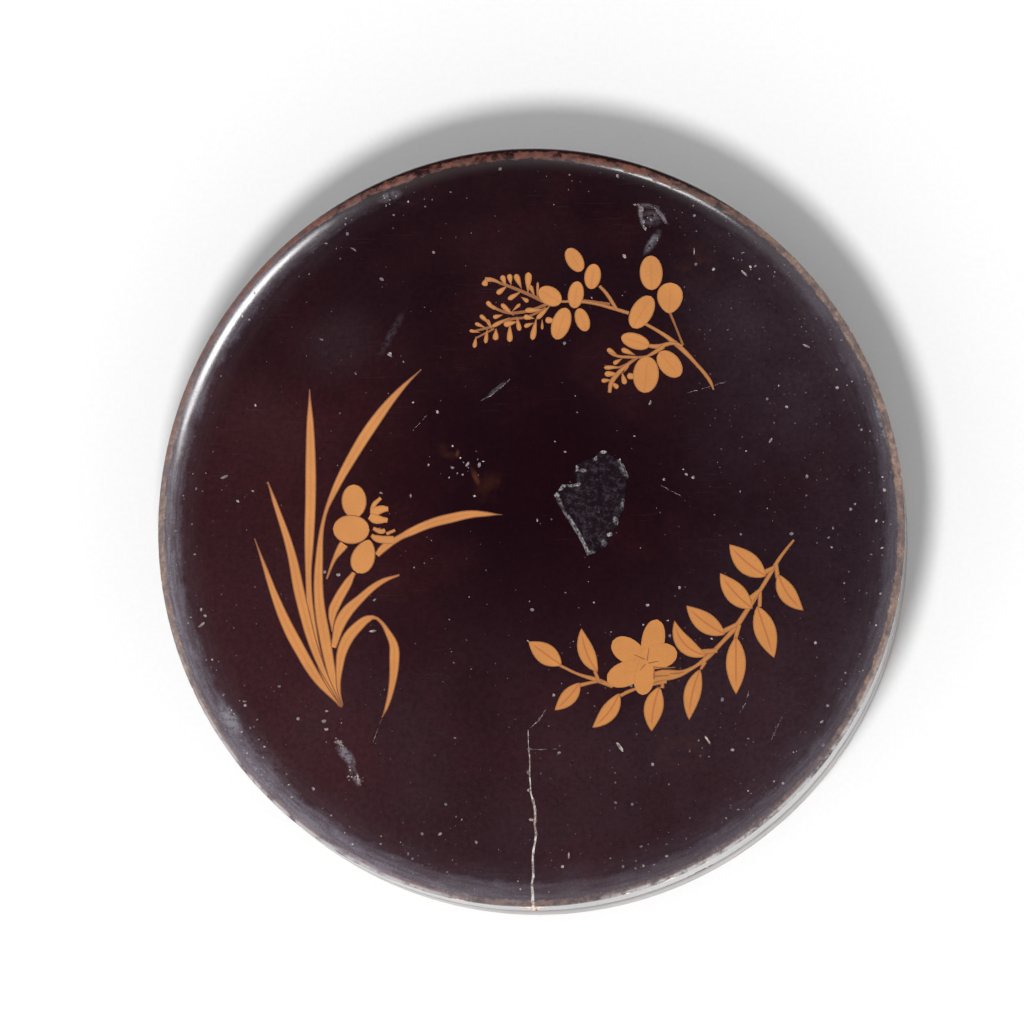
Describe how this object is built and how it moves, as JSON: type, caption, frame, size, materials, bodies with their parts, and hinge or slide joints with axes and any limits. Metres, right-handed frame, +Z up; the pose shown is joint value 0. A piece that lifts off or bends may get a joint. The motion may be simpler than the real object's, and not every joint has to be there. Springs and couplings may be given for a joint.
{
  "type": "round lacquer box",
  "caption": "Low round turned wooden box with a lift-off lid, lacquered brown-black; the lid carries gold plant sprays, a chip and a crack that runs to its edge.",
  "frame": {"origin": "centre of the foot ring's underside, on the surface that the box stands on", "axes": "+Z up along the box's axis; +X and +Y are the right and the upper side of the picture on the lid"},
  "size_m": [0.12, 0.12, 0.031],
  "materials": {
    "body_lacquer": "polished brown-black lacquer on turned wood",
    "lid_lacquer": "polished brown-black lacquer on turned wood, worn along its edge",
    "gold_powder": "gold powder sprinkled on wet lacquer, satin",
    "bare_ground": "dry clay-and-lacquer ground where the lacquer is lost"
  },
  "bodies": {
    "root": {"box_body": "body_lacquer", "lid": "lid_lacquer"}
  },
  "joints": []
}
